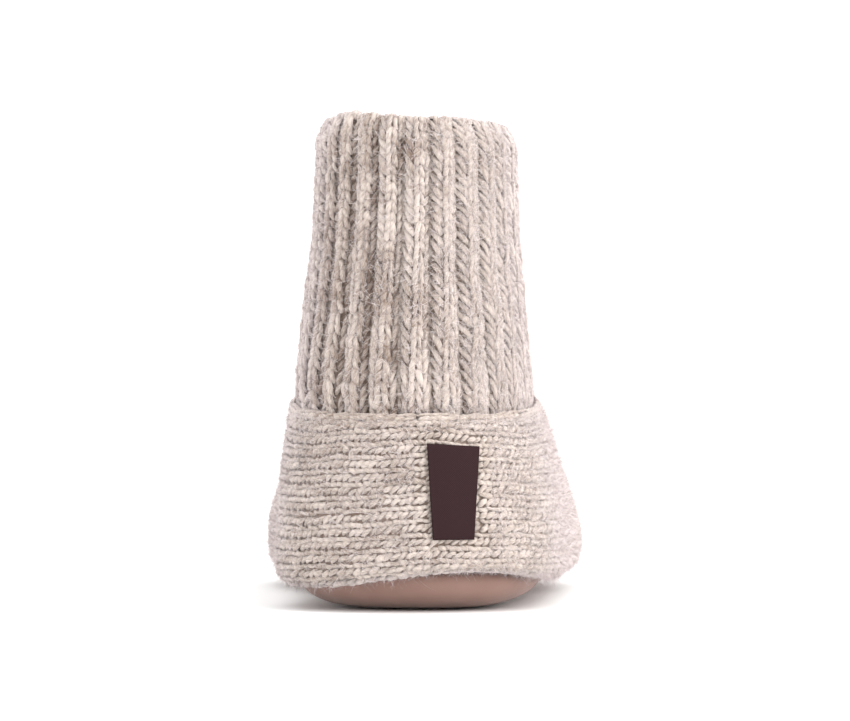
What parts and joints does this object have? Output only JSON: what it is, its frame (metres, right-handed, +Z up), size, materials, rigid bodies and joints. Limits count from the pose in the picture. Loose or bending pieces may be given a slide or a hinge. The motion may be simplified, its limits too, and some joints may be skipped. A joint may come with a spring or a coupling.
{
  "type": "slipper sock",
  "caption": "Knitted slipper sock for the right foot, with a ribbed ankle shaft, a hollow knitted foot part and a padded sole with a rounded edge.",
  "frame": {"origin": "centre of the bounding box in plan, on the floor that the sole rests on", "axes": "+Y from heel to toe, +X towards the outer side of the right foot, +Z up"},
  "size_m": [0.1061, 0.2524, 0.1525],
  "materials": {
    "foot_wool": "marled wool yarn in cream and grey-brown, plain knit, slightly fuzzy",
    "shaft_wool": "marled wool yarn in cream and grey-brown, ribbed knit, slightly fuzzy",
    "sole_suede": "tan-brown soft suede-like sole, matt with a faint sheen",
    "footbed": "short-pile fleece",
    "label": "tightly woven dark brown ribbon, bare"
  },
  "bodies": {
    "root": {"foot_knit": "foot_wool", "rib_shaft": "shaft_wool", "outsole": "sole_suede", "insole": "footbed", "heel_label": "label"}
  },
  "joints": []
}
